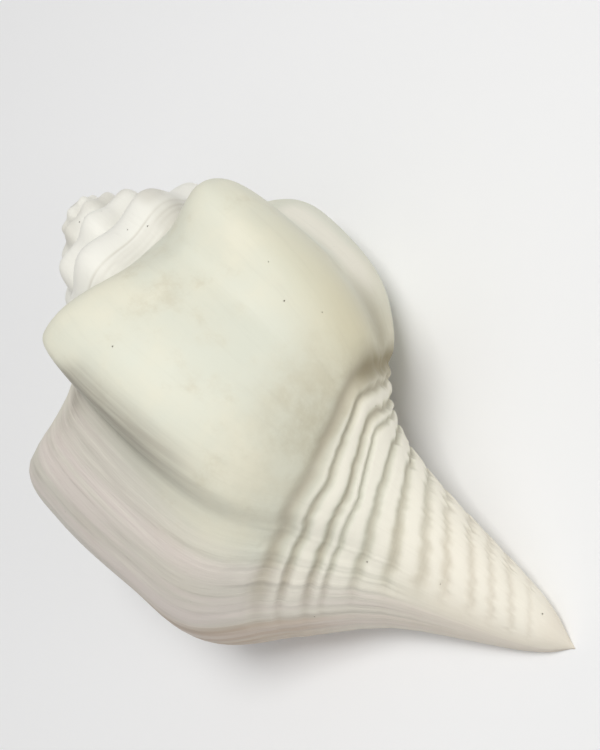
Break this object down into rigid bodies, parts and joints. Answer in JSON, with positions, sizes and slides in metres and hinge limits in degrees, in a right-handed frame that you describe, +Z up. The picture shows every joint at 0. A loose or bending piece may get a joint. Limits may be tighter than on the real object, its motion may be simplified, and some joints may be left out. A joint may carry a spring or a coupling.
{
  "type": "conch shell",
  "caption": "Knobbed spiral sea shell with an angular shoulder, a wide mouth and a long pointed siphonal canal, lying mouth down.",
  "frame": {"origin": "centre of the bounding box at the surface the shell lies on", "axes": "+X from the apex towards the end of the canal, +Z up, mouth down"},
  "size_m": [0.2311, 0.1414, 0.1217],
  "materials": {
    "shell": "cream-white shell lime, worn smooth and faintly glossy on the knobs, finely ridged on the canal"
  },
  "bodies": {
    "root": {"shell": "shell"}
  },
  "joints": []
}
